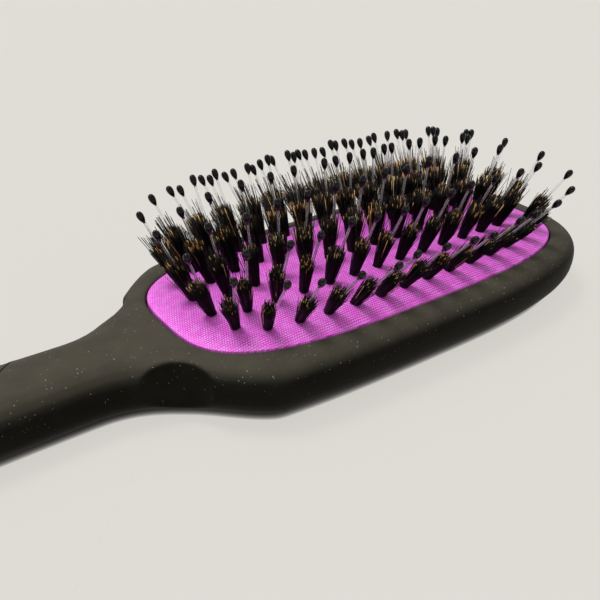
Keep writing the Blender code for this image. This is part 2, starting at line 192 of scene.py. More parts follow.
def place_group(tree, group, feeds):
    """The outputs of the group, placed as one node of a material."""
    return add_node(tree, "ShaderNodeGroup", {"node_tree": group}, feeds).outputs


def new_material(name):
    """A material with its tree and its shader."""
    material = bpy.data.materials.new(name)
    material.use_nodes = True
    return material, material.node_tree, material.node_tree.nodes["Principled BSDF"]


def paint(pieces, material):
    """Gives each piece the material as its only one."""
    for piece in pieces:
        piece.data.materials.clear()
        piece.data.materials.append(material)


print("group helpers ready")

# %% [markdown]
# ## Floor
#
# The floor is one plain pale sheet. A pale colour would be enough, but it would throw light back up
# at the brush. So its own colour is dark, with one tone for what is seen and one for the light that
# bounces up, and most of the paleness is a glow that only the camera sees, straight, in a reflection
# or through the clear pins. It keeps the wide part of the shadow light and adds no light to the
# brush. An Ambient Occlusion node takes the glow away within two millimetres of the body, so that
# the shadow is darkest where the brush touches the floor.

# %% Floor
FLOOR_SEEN = (0.100, 0.098, 0.094)
FLOOR_GLOW = (0.619, 0.599, 0.563)
FLOOR_BOUNCE = (0.130, 0.125, 0.118)
FLOOR_ROUGHNESS = 0.9
FLOOR_SHINE = 0.1
FLOOR_HALF_WIDTH = 12.0
CONTACT_REACH = 0.0017
CONTACT_DEPTH = 3.0

floor_paint, tree, shader = new_material("pale floor")
ray = add_node(tree, "ShaderNodeLightPath", {}, {}).outputs
seen = ray["Is Camera Ray"]
for label in ("Is Glossy Ray", "Is Transmission Ray"):
    seen = sum_node(tree, "MAXIMUM", seen, ray[label])
shelter = add_node(tree, "ShaderNodeAmbientOcclusion", {}, {"Distance": CONTACT_REACH})
contact = sum_node(tree, "POWER", shelter.outputs["AO"], CONTACT_DEPTH)
feed(tree, shader, {
    "Base Color": mix_colour(tree, seen, FLOOR_BOUNCE, FLOOR_SEEN),
    "Emission Color": FLOOR_GLOW,
    "Emission Strength": scaled(tree, seen, contact),
    "Roughness": FLOOR_ROUGHNESS,
    "Specular IOR Level": FLOOR_SHINE,
})

bm = bmesh.new()
bmesh.ops.create_grid(bm, x_segments=1, y_segments=1, size=FLOOR_HALF_WIDTH)
floor_data = bpy.data.meshes.new("floor")
bm.to_mesh(floor_data)
bm.free()
floor = bpy.data.objects.new("floor", floor_data)
scene.collection.objects.link(floor)
paint([floor], floor_paint)
print("floor is", 2 * FLOOR_HALF_WIDTH, "m wide")

# %% [markdown]
# ## World and lamps
#
# Soft daylight comes from behind and above, so the top of the body shines and its near side stays
# dark. An area lamp could give that, but close to so small a thing it lights the floor in a pool. A
# sun lamp lights the same everywhere, and a wide angle makes its shadows soft. The window is narrow
# enough to glint on the drops, with a much wider lamp round it, as if through a curtain. A third
# lamp over the near side lifts that side a little, and the world fills the shadows. The two wide
# lamps are hidden from reflections, because black drops that mirror bright patches all over look
# grey. The lamps are kept at a level at which a colour renders about as it is written.

# %% World and lamps
SKY_COLOUR = (1.0, 0.985, 0.96, 1.0)
SKY_STRENGTH = 0.40
# name, where it shines from, spread in degrees, power, tint, seen in reflections
LAMPS = (
    ("window", (-0.24, 0.34, 1.0), 22.0, 1.60, (1.0, 0.99, 0.97), True),
    ("curtain", (-0.24, 0.34, 1.0), 80.0, 0.65, (1.0, 0.99, 0.97), False),
    ("ceiling", (0.0, -0.35, 1.0), 100.0, 0.4, (1.0, 0.98, 0.95), False),
)

for name, toward, spread, power, tint, mirrored in LAMPS:
    light = bpy.data.lights.new(name, "SUN")
    light.angle = math.radians(spread)
    light.energy = power
    light.color = tint
    lamp = bpy.data.objects.new(name, light)
    lamp.rotation_euler = Vector(toward).to_track_quat("Z", "Y").to_euler()
    lamp.visible_glossy = mirrored
    scene.collection.objects.link(lamp)
sky = bpy.data.worlds.new("soft room")
sky.use_nodes = True
sky.node_tree.nodes["Background"].inputs["Color"].default_value = SKY_COLOUR
sky.node_tree.nodes["Background"].inputs["Strength"].default_value = SKY_STRENGTH
scene.world = sky
scene.view_settings.view_transform = "Standard"
print(len(LAMPS), "lamps and a world light the brush")

# %% [markdown]
# ## Dust, shared by every finish
#
# Black rubbery paint shows every speck, and the picture has dozens of pale ones a tenth of a
# millimetre across. They could be painted as an image, but a Voronoi texture scatters them without
# end: each cell holds one point, and a point becomes a speck only where the cell's random colour
# allows it. Specks settle on faces that look up, so the mask fades with the surface's direction.
# Finer dust lies between them as a film. The group puts that out too, as a second mask that is
# strongest on level faces and gone on the sides. That mask is partly painted light: it makes faces
# that look up paler, as if lit from above, next to sides that stay dark.

# %% Dust group
dust, entry, leave = open_group(
    "dust specks", "Place", {"Cells per metre": 700.0, "Size": 0.16, "Share": 0.2},
    ["Specks", "Film and top light"])
cells = add_node(dust, "ShaderNodeVectorMath", {"operation": "SCALE"},
                 {0: entry["Place"], "Scale": entry["Cells per metre"]})
points = add_node(dust, "ShaderNodeTexVoronoi", {},
                  {"Vector": cells.outputs[0], "Scale": 1.0, "Randomness": 1.0})
chance = add_node(dust, "ShaderNodeSeparateColor", {}, {0: points.outputs["Color"]})
allowed = sum_node(dust, "LESS_THAN", chance.outputs[0], entry["Share"])
reach = scaled(dust, scaled(dust, chance.outputs[1], by=0.8, plus=0.3), entry["Size"])
inside = ramp_node(dust, points.outputs["Distance"], low=reach, high=scaled(dust, reach, by=0.45))
surface = add_node(dust, "ShaderNodeNewGeometry", {}, {})
facing = add_node(dust, "ShaderNodeSeparateXYZ", {}, {0: surface.outputs["Normal"]}).outputs[2]
settled = ramp_node(dust, facing, low=-0.35, high=0.75, to_low=0.15)
drift = noise_node(dust, entry["Place"], scale=130.0, detail=4.0, roughness=0.6)
uneven = ramp_node(dust, drift, low=0.3, high=0.7, to_low=0.8)
# painted light and dust film: faces that look up are painted paler, as if lit from above
level = ramp_node(dust, facing, low=0.36, high=0.97)
feed(dust, leave, {
    "Specks": scaled(dust, scaled(dust, inside, allowed), settled),
    "Film and top light": scaled(dust, level, uneven),
})
print("dust group has", len(dust.nodes), "nodes")

# %% [markdown]
# ## Grain and smears
#
# Soft-touch paint is never quite even. It has a fine sandy grain that takes the edge off each
# highlight, broad patches where hands have polished it, and faint smears along the handle. Three
# noises at three scales give those, and they come out of one group as a height, a mottle and a
# smear, so that the same group can also roughen the bristles and cloud the clear pins.

# %% Grain group
grain, entry, leave = open_group(
    "grain and smears", "Place", {"Fineness": 5200.0}, ["Grain", "Mottle", "Smear"])
patches = noise_node(grain, entry["Place"], scale=95.0, detail=4.0, roughness=0.62)
drawn = add_node(grain, "ShaderNodeMapping", {},
                 {"Vector": entry["Place"], "Scale": (60.0, 700.0, 500.0),
                  "Rotation": (0.0, 0.0, 0.16)})
streaks = noise_node(grain, drawn.outputs[0], scale=1.0, detail=3.0, roughness=0.55,
                     distortion=0.4)
feed(grain, leave, {
    "Grain": noise_node(grain, entry["Place"], entry["Fineness"], detail=2.0, roughness=0.6),
    "Mottle": ramp_node(grain, patches, low=0.36, high=0.66),
    "Smear": ramp_node(grain, streaks, low=0.55, high=0.75),
})
print("grain group has", len(grain.nodes), "nodes")

# %% [markdown]
# ## Worn edges
#
# Where the paint turns a tight corner it gets rubbed, and looks a little paler. Cycles knows how
# sharply a mesh bends at each vertex and calls it pointiness. Stretching a narrow band of it into a
# mask, and breaking the mask up with noise, finds the edges of any piece with no painting by hand.

# %% Wear group
wear, entry, leave = open_group("worn edges", "Place", {"From": 0.515, "To": 0.56}, ["Worn"])
shape = add_node(wear, "ShaderNodeNewGeometry", {}, {})
edge = ramp_node(wear, shape.outputs["Pointiness"], entry["From"], entry["To"])
patchy = noise_node(wear, entry["Place"], scale=420.0, detail=3.0)
broken = ramp_node(wear, patchy, low=0.4, high=0.62, to_low=0.25)
feed(wear, leave, {"Worn": scaled(wear, edge, broken)})
print("wear group has", len(wear.nodes), "nodes")

# %% [markdown]
# ## The body: softened copies of the mouldings
#
# The solids of the frame and the grip have the right form, but their edges are as crisp as the
# cutters that made them, and a real moulding under a coat of rubber paint has no crisp edge. The
# faces of a boolean solid are long and uneven, so a bevel would tear. Instead both copies are joined
# into one skin, rebuilt in small even faces with a voxel Remesh, and relaxed with a Smooth modifier,
# which rounds the scoops and the rim by a few tenths of a millimetre. The walls of the solids' seam
# are pushed past each other first, so that the remesh fuses them.

# %% One softened skin for frame and grip
WELD = 0.000004
VOXEL = 0.00055
RELAX_SHARE = 0.5
RELAX_ROUNDS = 6
SEAM_PLACE = Vector((-0.0428, 0.0, 0.0))
SEAM_ANGLE = math.radians(48)
SEAM_TO_HEAD = Vector((math.sin(SEAM_ANGLE), -math.cos(SEAM_ANGLE), 0.0))
SEAM_GAP = 0.00026
SEAM_OVERLAP = 0.0004


def finish_object(name, bm):
    """A smooth shaded mesh object at the origin."""
    data = bpy.data.meshes.new(name)
    bm.to_mesh(data)
    bm.free()
    data.shade_smooth()
    made = bpy.data.objects.new(name, data)
    scene.collection.objects.link(made)
    return made


def shown_mesh(piece):
    """The mesh that the piece's modifiers show."""
    graph = bpy.context.evaluated_depsgraph_get()
    return bpy.data.meshes.new_from_object(piece.evaluated_get(graph), depsgraph=graph)


bm = bmesh.new()
for node in ("brush_frame", "rear_grip"):
    bm.from_mesh(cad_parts[node].data)
bmesh.ops.remove_doubles(bm, verts=bm.verts, dist=WELD)
for vert in bm.verts:
    away = (vert.co - SEAM_PLACE).dot(SEAM_TO_HEAD)
    if abs(away) < SEAM_GAP:
        vert.co -= SEAM_TO_HEAD * math.copysign(SEAM_OVERLAP, away)
bmesh.ops.recalc_face_normals(bm, faces=bm.faces)
draft = finish_object("body_draft", bm)
even = draft.modifiers.new("even faces", "REMESH")
even.mode = "VOXEL"
even.voxel_size = VOXEL
relax = draft.modifiers.new("relax", "SMOOTH")
relax.factor = RELAX_SHARE
relax.iterations = RELAX_ROUNDS
skin = shown_mesh(draft)
bpy.data.objects.remove(draft)
print("the skin has", len(skin.polygons), "faces")

# %% [markdown]
# Last, the skin is cut in two where the picture has the slanted seam, a little nearer to the head
# than in the solids. A groove could be pressed into the whole skin, but a cut after the smoothing
# keeps both sides of the seam level and its line thin. The face that closes a cut has far more sides
# than the others, and it stays flat. The remesh also leaves closed shells round any hollow inside
# the handle, and only the outer one is kept.

# %% Keep the outer shell and cut it at the seam
SEAM_CUT = Vector((-0.0419, 0.0, 0.0))
CUT_FACE_SIDES = 20


def outer_shell(bm):
    """Removes every shell but the one with the most points."""
    left = set(bm.verts)
    shells = []
    while left:
        shell = {left.pop()}
        front = list(shell)
        while front:
            near = {edge.other_vert(vert) for vert in front for edge in vert.link_edges}
            front = list(near - shell)
            shell.update(front)
        left -= shell
        shells.append(shell)
    shells.sort(key=len)
    for shell in shells[:-1]:
        bmesh.ops.delete(bm, geom=list(shell), context="VERTS")


def half_body(name, side):
    """The skin on one side of the seam, closed at the cut: side is 1 for the head, -1 for the grip."""
    bm = bmesh.new()
    bm.from_mesh(skin)
    outer_shell(bm)
    away = -side * SEAM_TO_HEAD
    cut = bmesh.ops.bisect_plane(bm, geom=bm.verts[:] + bm.edges[:] + bm.faces[:],
                                 plane_co=SEAM_CUT - away * SEAM_GAP / 2, plane_no=away,
                                 clear_outer=True, dist=WELD)
    ring = [edge for edge in cut["geom_cut"] if isinstance(edge, bmesh.types.BMEdge)]
    bmesh.ops.edgeloop_fill(bm, edges=ring)
    bmesh.ops.recalc_face_normals(bm, faces=bm.faces)
    piece = finish_object(name, bm)
    rounded = [len(face.vertices) < CUT_FACE_SIDES for face in piece.data.polygons]
    piece.data.polygons.foreach_set("use_smooth", rounded)
    print(name, "has", len(piece.data.polygons), "faces")
    return piece


body_frame = half_body("body_frame", 1)
body_grip = half_body("body_grip", -1)

# %% [markdown]
# ## Soft-touch black
#
# The paint is a warm black with a wide, low highlight: a dark olive base, high roughness and a touch
# of warmth in its shine. A plain black would look like a hole. The groups above make it less
# perfect: the mottle shifts the colour, worn edges pale it, a film that is partly dust and partly
# painted light makes the faces that look up paler than the sides, smears make it a little
# smoother, specks lie on top of it, and the grain goes to the bump.

# %% Soft-touch material
PAINT_DARK = (0.0095, 0.0092, 0.0072)
PAINT_LIGHT = (0.0145, 0.0140, 0.0108)
PAINT_WORN = (0.045, 0.042, 0.033)
PAINTED_TOP_LIGHT_AND_FILM = (0.095, 0.0860, 0.0660)
DUST_SPECK = (0.42, 0.40, 0.35)
WARM_SHINE = (1.0, 0.94, 0.80)
WORN_SHARE = 0.4
TOP_LIGHT_AND_FILM_SHARE = 0.74
SPECK_SHARE = 0.9
PAINT_ROUGHNESS = 0.50
SPECK_HEIGHT = 1.5

soft_black, tree, shader = new_material("soft touch black")
where = object_place(tree)
texture = place_group(tree, grain, {"Place": where, "Fineness": 5200.0})
rubbed = place_group(tree, wear, {"Place": where, "From": 0.512, "To": 0.55})["Worn"]
fine_dust = place_group(tree, dust, {"Place": where, "Cells per metre": 1050.0, "Size": 0.150,
                                     "Share": 0.95})
large_dust = place_group(tree, dust, {"Place": where, "Cells per metre": 260.0, "Size": 0.05,
                                      "Share": 0.6})
specks = sum_node(tree, "MAXIMUM", fine_dust["Specks"], large_dust["Specks"])
colour = mix_colour(tree, texture["Mottle"], PAINT_DARK, PAINT_LIGHT)
# the film layer is partly dust and partly painted light on faces that look up
for mask, share, layer in ((rubbed, WORN_SHARE, PAINT_WORN),
                           (fine_dust["Film and top light"], TOP_LIGHT_AND_FILM_SHARE, PAINTED_TOP_LIGHT_AND_FILM),
                           (specks, SPECK_SHARE, DUST_SPECK)):
    colour = mix_colour(tree, scaled(tree, mask, share), colour, layer)
rough = scaled(tree, texture["Mottle"], by=0.07, plus=PAINT_ROUGHNESS)
rough = scaled(tree, texture["Smear"], by=-0.05, plus=rough)
height = scaled(tree, specks, by=SPECK_HEIGHT, plus=texture["Grain"])
feed(tree, shader, {
    "Base Color": colour,
    "Roughness": scaled(tree, specks, by=0.3, plus=rough),
    "Normal": bump_node(tree, height, strength=0.22, distance=0.00006),
    "Specular IOR Level": 0.05,
    "Specular Tint": WARM_SHINE,
})

for piece, node in ((body_frame, "brush_frame"), (body_grip, "rear_grip")):
    paint([piece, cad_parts[node]], soft_black)
    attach(piece, "brush_body")
    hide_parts(node)
print("soft touch black has", len(tree.nodes), "nodes")

# %% [markdown]
# ## Where the tufts stand
#
# Twelve straight rows of five tufts cross the cushion and a curved row of four closes each end. The
# cushion, the bristles and the pins all need the plan, so it is worked out once. It could be read
# off the solids, but the sizes that they were built with are plainer: the cushion's outline is a
# rounded box, and each tuft leans outwards by an angle that grows with its distance from the middle.

# %% Outline and crown of the cushion
HEAD_X = 0.0537
PAD_HALF_LENGTH = 0.05725
PAD_HALF_WIDTH = 0.026
PAD_SQUARENESS = 3.3
RIM_TOP = 0.0153
EDGE_SINK = 0.0003
CROWN_HEIGHT = 0.0036
CROWN_SIDE_POWER = 2.6
CROWN_TOP_POWER = 0.75


def reach_share(x, y):
    """0 in the middle of the cushion and 1 on its outline."""
    along = abs((x - HEAD_X) / PAD_HALF_LENGTH) ** PAD_SQUARENESS
    across = abs(y / PAD_HALF_WIDTH) ** PAD_SQUARENESS
    return min((along + across) ** (1 / PAD_SQUARENESS), 1.0)


def crown(x, y):
    """Height of the cushion over a place."""
    rise = (1 - reach_share(x, y) ** CROWN_SIDE_POWER) ** CROWN_TOP_POWER
    return RIM_TOP - EDGE_SINK + CROWN_HEIGHT * rise


print("the crown stands", round(1000 * crown(HEAD_X, 0.0), 1), "mm above the table")

# %% Plan of the tufts
FIELD_INSET = 0.0046
TUFT_MARGIN = 0.0021
ROW_PITCH = 0.00734
STRAIGHT_ROWS = 12
LANES_PER_SIDE = 2
SIDE_LANE = 0.0193
END_PLACES = ((0.0459, 0.01177), (0.0473, 0.00405))
END_MIDDLE = END_PLACES[1][0]
SIDE_LEAN = math.radians(34)
END_LEAN = math.radians(25)
END_LEAN_POWER = 1.8


def outer_lane(x):
    """How far from the middle line the outer tuft of a straight row stands."""
    half_length = PAD_HALF_LENGTH - FIELD_INSET
    half_width = PAD_HALF_WIDTH - FIELD_INSET
    share = abs((x - HEAD_X) / half_length) ** PAD_SQUARENESS
    return half_width * (1 - share) ** (1 / PAD_SQUARENESS) - TUFT_MARGIN


def nearness(y):
    """0 at the far edge of the cushion and 1 at the near edge."""
    return (1 - y / SIDE_LANE) / 2


def lean_direction(x, y, rock):
    """The way a tuft points: outwards to the sides and ends, and rocked, most on the near side."""
    side = SIDE_LEAN * y / SIDE_LANE + rock[1] * nearness(y)
    share = (x - HEAD_X) / END_MIDDLE
    end = math.copysign(END_LEAN * abs(share) ** END_LEAN_POWER, share)
    end += rock[0] * nearness(y) * (1 - share)
    return Vector((math.tan(end), math.tan(side), 1.0)).normalized()


rows = []
for row in range(STRAIGHT_ROWS):
    x = HEAD_X + (row - STRAIGHT_ROWS / 2 + 0.5) * ROW_PITCH
    lanes = range(-LANES_PER_SIDE, LANES_PER_SIDE + 1)
    rows.append([(x, outer_lane(x) * lane / LANES_PER_SIDE) for lane in lanes])
for end in (-1, 1):
    arc = [(HEAD_X + end * x, side * y) for x, y in END_PLACES for side in (-1, 1)]
    rows.insert(0 if end < 0 else len(rows), arc)
tufts = [place for row in rows for place in row]
print(len(rows), "rows with", len(tufts), "tufts")

# %% [markdown]
# ## The cushion
#
# The real cushion is a sheet of rubber with knit glued to it, held round its edge and blown up by
# the air behind it. It could be a stretched ball, but its outline is a rounded box. A grid is a
# better start: its square is pulled out to the rounded box, its lines are drawn closer together
# towards the edge where the surface bends most, and each point is lifted to the crown. Every tuft
# presses a shallow dimple into the sheet.

# %% Sheet of the cushion
GRID_LONG = 144
GRID_WIDE = 70
EDGE_GAP = 0.00022
EDGE_DRAW = 1.55
DIMPLE_DEPTH = 0.00038
DIMPLE_REACH = 0.0024
DIMPLE_END_SQUARED = 0.00007


def drawn_out(share):
    """Spreads grid lines so that they gather near the edge."""
    return math.copysign(1 - (1 - min(abs(share), 1.0)) ** EDGE_DRAW, share)


def dimple(x, y):
    """How far the tufts pull the knit down at a place."""
    depth = 0.0
    for tuft_x, tuft_y in tufts:
        away = (x - tuft_x) ** 2 + (y - tuft_y) ** 2
        if away < DIMPLE_END_SQUARED:
            depth += DIMPLE_DEPTH * math.exp(-away / DIMPLE_REACH**2)
    return depth


bm = bmesh.new()
bmesh.ops.create_grid(bm, x_segments=GRID_LONG, y_segments=GRID_WIDE, size=1.0)
for vert in bm.verts:
    u = drawn_out(vert.co.x)
    v = drawn_out(vert.co.y)
    square = max(abs(u), abs(v))
    rounded = (abs(u) ** PAD_SQUARENESS + abs(v) ** PAD_SQUARENESS) ** (1 / PAD_SQUARENESS)
    pull = square / rounded if rounded > 0 else 0.0
    x = HEAD_X + u * pull * (PAD_HALF_LENGTH - EDGE_GAP)
    y = v * pull * (PAD_HALF_WIDTH - EDGE_GAP)
    vert.co = (x, y, crown(x, y) - dimple(x, y))
print("the sheet has", len(bm.verts), "points")

# %% [markdown]
# Before the sheet is blown up, each point stores two things that its finish will need: its place
# on the flat sheet in millimetres, as a UV map, and how near to the border it is.

# %% Marks on the sheet
sheet_map = bm.loops.layers.uv.new("sheet")
border = bm.verts.layers.float.new("border")
for vert in bm.verts:
    vert[border] = reach_share(vert.co.x, vert.co.y)
for face in bm.faces:
    for loop in face.loops:
        loop[sheet_map].uv = (1000 * (loop.vert.co.x - HEAD_X), 1000 * loop.vert.co.y)
print("the sheet has", len(bm.faces), "faces with a place on the map")

# %% [markdown]
# ## Blowing the cushion up
#
# Air lifts the rubber between the tufts, which are riveted down. That soft quilting could be drawn
# with more formulas, but a short Cloth simulation finds it by itself: the points at the border and
# round the foot of each tuft are pinned, gravity is off, and pressure pushes the rest outwards
# against the stretched rubber. Cloth behaves best at the size of real clothes, so the sheet is made
# ten times larger first and goes back to its size afterwards. No point may move by more than half a
# millimetre. One level of Subdivision Surface then turns the coarse sheet into a smooth one.

# %% Blow up the sheet
CLOTH_SCALE = 10.0
CLOTH_FRAMES = 12
CLOTH_QUALITY = 6
RIVET_REACH = 0.0013
AIR_PRESSURE = 22.0
STRETCH_STIFFNESS = 18.0
SHEAR_STIFFNESS = 10.0
BEND_STIFFNESS = 0.8
DAMPING = 12.0
MOST_MOVE = 0.0005

bm.verts.index_update()
held = [vert.index for vert in bm.verts if vert.is_boundary or any(
    math.hypot(vert.co.x - x, vert.co.y - y) < RIVET_REACH for x, y in tufts)]
bmesh.ops.scale(bm, verts=bm.verts, vec=(CLOTH_SCALE,) * 3)
draft = finish_object("cushion_draft", bm)
draft.vertex_groups.new(name="held").add(held, 1.0, "REPLACE")
cloth = draft.modifiers.new("rubber and air", "CLOTH")
rubber = cloth.settings
rubber.quality = CLOTH_QUALITY
rubber.tension_stiffness = STRETCH_STIFFNESS
rubber.compression_stiffness = STRETCH_STIFFNESS
rubber.shear_stiffness = SHEAR_STIFFNESS
rubber.bending_stiffness = BEND_STIFFNESS
rubber.tension_damping = rubber.compression_damping = rubber.shear_damping = DAMPING
rubber.vertex_group_mass = "held"
rubber.use_pressure = True
rubber.uniform_pressure_force = AIR_PRESSURE
rubber.effector_weights.gravity = 0.0
cloth.collision_settings.use_collision = False
cloth.point_cache.frame_end = CLOTH_FRAMES
for moment in range(1, CLOTH_FRAMES + 1):
    scene.frame_set(moment)
blown = shown_mesh(draft)
lifts = []
for vert, flat in zip(blown.vertices, draft.data.vertices):
    move = vert.co - flat.co
    if move.length > MOST_MOVE * CLOTH_SCALE:
        vert.co = flat.co + move.normalized() * MOST_MOVE * CLOTH_SCALE
    lifts.append((vert.co.z - flat.co.z) / CLOTH_SCALE)
bpy.data.objects.remove(draft)
scene.frame_set(1)
print("the air lifts the sheet by up to", round(1000 * max(lifts), 2), "mm")

# %% Smooth the sheet
draft = bpy.data.objects.new("cushion_smooth", blown)
scene.collection.objects.link(draft)
finer = draft.modifiers.new("finer", "SUBSURF")
finer.levels = finer.render_levels = 1
finer.boundary_smooth = "PRESERVE_CORNERS"
smooth_sheet = shown_mesh(draft)
bpy.data.objects.remove(draft)
print("the smooth sheet has", len(smooth_sheet.polygons), "faces")

# %% [markdown]
# The open edge is then extruded down into the pocket and closed, so the cushion is one closed form.
# A Solidify modifier could thicken the sheet, but its inside is never seen.

# %% Cushion
SEAT_HEIGHT = 0.0121

bm = bmesh.new()
bm.from_mesh(smooth_sheet)
bmesh.ops.scale(bm, verts=bm.verts, vec=(1 / CLOTH_SCALE,) * 3)
rim = [edge for edge in bm.edges if edge.is_boundary]
wall = bmesh.ops.extrude_edge_only(bm, edges=rim)["geom"]
for item in wall:
    if isinstance(item, bmesh.types.BMVert):
        item.co.z = SEAT_HEIGHT
bmesh.ops.edgeloop_fill(bm, edges=[edge for edge in bm.edges if edge.is_boundary])
bmesh.ops.recalc_face_normals(bm, faces=bm.faces)
cushion = finish_object("cushion_fabric", bm)
print("cushion has", len(cushion.data.polygons), "faces")

# %% [markdown]
# ## Knit
#
# The sheet is covered with a fine magenta knit, five stitches to three millimetres: from close
# by it is a grid of small bright bumps with dark pinholes between them, and further off it reads as
# ribs. A woven look can be drawn with Wave textures, but two sine waves from a UV map in
# millimetres are simpler to aim: one runs along the brush and one across, each row of stitches is
# shifted by half a stitch, and their product gives the height of the yarn. The group puts out that
# height, the pinholes and a slow unevenness of the dye.

# %% Knit group
knit_loops, entry, leave = open_group(
    "knit loops", "Sheet", {"Stitches per mm": 1.65}, ["Yarn", "Pinholes", "Dye"])
wobble = noise_node(knit_loops, entry["Sheet"], scale=0.5, detail=3.0, dimensions="2D")
shift = scaled(knit_loops, wobble, by=0.5, plus=-0.25)
plan = add_node(knit_loops, "ShaderNodeSeparateXYZ", {}, {0: entry["Sheet"]})
course, wale = (
    scaled(knit_loops, sum_node(knit_loops, "ADD", plan.outputs[axis], shift),
           entry["Stitches per mm"]) for axis in (0, 1))
course = scaled(knit_loops, sum_node(knit_loops, "FLOOR", wale), by=0.5, plus=course)
bumps = []
for turn in (course, wale):
    wave = sum_node(knit_loops, "SINE", scaled(knit_loops, turn, by=math.pi))
    bumps.append(sum_node(knit_loops, "ABSOLUTE", wave))
yarn = sum_node(knit_loops, "SQRT", scaled(knit_loops, bumps[0], bumps[1]))
larger = sum_node(knit_loops, "MAXIMUM", bumps[0], bumps[1])
fuzz = noise_node(knit_loops, entry["Sheet"], scale=6.0, detail=3.0, dimensions="2D")
feed(knit_loops, leave, {
    "Yarn": scaled(knit_loops, fuzz, by=0.35, plus=yarn),
    "Pinholes": ramp_node(knit_loops, larger, low=0.74, high=0.40),
    "Dye": ramp_node(knit_loops, wobble, low=0.35, high=0.68),
})
print("knit group has", len(knit_loops.nodes), "nodes")

# %% [markdown]
# The magenta is lighter on the crests of the yarn and deep purple in the gaps, which is painted
# shade between the loops. Fabric scatters light at grazing angles, which the shader's sheen gives,
# and a few stray specks lie on it.
# Where the sheet dives behind the rim, a thin dark line of painted shade follows the crease. The
# border mark draws that line, and closes the pinholes there.

# %% Knit material
YARN_DEEP = (1.00, 0.170, 0.90)
YARN_BRIGHT = (1.00, 0.290, 0.98)
YARN_GAP_SHADE = (0.66, 0.040, 0.60)
PINHOLE = (0.09, 0.003, 0.09)
PAINTED_RIM_SHADE = (0.05, 0.003, 0.046)
LINT = (0.75, 0.5, 0.6)
SHEEN_TINT = (1.0, 0.40, 0.95)
PINHOLE_SHARE = 0.92
LINT_SHARE = 0.6

knit, tree, shader = new_material("magenta knit")
sheet = add_node(tree, "ShaderNodeTexCoord", {}, {}).outputs
loops = place_group(tree, knit_loops, {"Sheet": sheet["UV"], "Stitches per mm": 1.65})
lint = place_group(tree, dust, {"Place": sheet["Object"], "Cells per metre": 420.0, "Size": 0.09,
                                "Share": 0.12})["Specks"]
near_border = stored(tree, "border")
# painted shade along the crease where the knit meets the rim
rim_shade = ramp_node(tree, near_border, low=0.990, high=1.0)
loose = ramp_node(tree, near_border, low=0.955, high=0.985, to_low=1.0, to_high=0.0)
crest = ramp_node(tree, loops["Yarn"], low=0.25, high=1.15)
yarn_colour = mix_colour(tree, loops["Dye"], YARN_DEEP, YARN_BRIGHT)
# painted shade: the low parts of the yarn take the deep purple
colour = mix_colour(tree, crest, YARN_GAP_SHADE, yarn_colour)
holes = scaled(tree, scaled(tree, loops["Pinholes"], loose), PINHOLE_SHARE)
for mask, layer in ((holes, PINHOLE), (rim_shade, PAINTED_RIM_SHADE),
                    (scaled(tree, lint, LINT_SHARE), LINT)):
    colour = mix_colour(tree, mask, colour, layer)
height = scaled(tree, loops["Yarn"], loose)
feed(tree, shader, {
    "Base Color": colour,
    "Roughness": ramp_node(tree, loops["Yarn"], low=0.0, high=1.2, to_low=0.75, to_high=0.45),
    "Normal": bump_node(tree, height, strength=0.4, distance=0.00012),
    "Sheen Weight": 0.05,
    "Sheen Roughness": 0.45,
    "Sheen Tint": SHEEN_TINT,
    "Specular IOR Level": 0.60,
})

paint([cushion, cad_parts["cushion_edge"]], knit)
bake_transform(cushion)
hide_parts("cushion_edge")
print("knit has", len(tree.nodes), "nodes")

# %% [markdown]
# ## Bristles
#
# Each tuft is a plug of a few hundred stiff hairs, packed so tightly at the foot that it looks like
# a solid black peg, and opening into a spiky broom at the top. Blender's hair system could grow
# them, but hair isn't exported as a mesh. One thin three-sided cone, cut into four lengths, is made
# once as a template. It is copied into the row for every hair, and the copy's points are moved onto
# that hair's own curve. Two attributes are stored on the way: how far along the hair a point is, and
# a random tone for the whole hair.

# %% Templates of one hair and one plug
HAIR_SIDES = 3
HAIR_TIP_SHARE = 0.65
HAIR_LENGTHS = 4
PLUG_SIDES = 14
PLUG_TOP_SHARE = 0.96


def cone_template(name, sides, top_share, lengths):
    """A closed cone of unit radius and height that stands on the origin, cut into equal lengths."""
    bm = bmesh.new()
    bmesh.ops.create_cone(bm, cap_ends=True, segments=sides, radius1=1.0, radius2=top_share,
                          depth=1.0)
    bmesh.ops.translate(bm, verts=bm.verts, vec=(0.0, 0.0, 0.5))
    for cut in range(1, lengths):
        bmesh.ops.bisect_plane(bm, geom=bm.verts[:] + bm.edges[:] + bm.faces[:],
                               plane_co=(0.0, 0.0, cut / lengths), plane_no=(0.0, 0.0, 1.0))
    data = bpy.data.meshes.new(name)
    bm.to_mesh(data)
    bm.free()
    return data


hair = cone_template("hair_template", HAIR_SIDES, HAIR_TIP_SHARE, HAIR_LENGTHS)
plug = cone_template("plug_template", PLUG_SIDES, PLUG_TOP_SHARE, 1)
print("one hair has", len(hair.polygons), "faces and one plug", len(plug.polygons))

# %% [markdown]
# A dark plug stands in the heart of each tuft and closes the view between its hairs. Every hair is
# bowed a little on its way from foot to tip.

# %% Placing one hair or one plug
PLUG_RADIUS = 0.00098
PLUG_HEART_SHARE = 0.95
PLUG_HEIGHT = 0.0092
FOOT_SINK = 0.0011
BOW_MIDDLE = 2
BOW_TIP = 0.5


def side_pair(direction):
    """Two unit directions square to a direction and to each other."""
    first = direction.orthogonal().normalized()
    return first, direction.cross(first)


def stand_up(direction):
    """A turn that takes +Z to a direction."""
    return direction.to_track_quat("Z", "Y").to_matrix().to_4x4()


def add_copy(bm, template):
    """Adds the template to a mesh and gives the points of the copy."""
    start = len(bm.verts)
    bm.from_mesh(template)
    bm.verts.ensure_lookup_table()
    return bm.verts[start:]


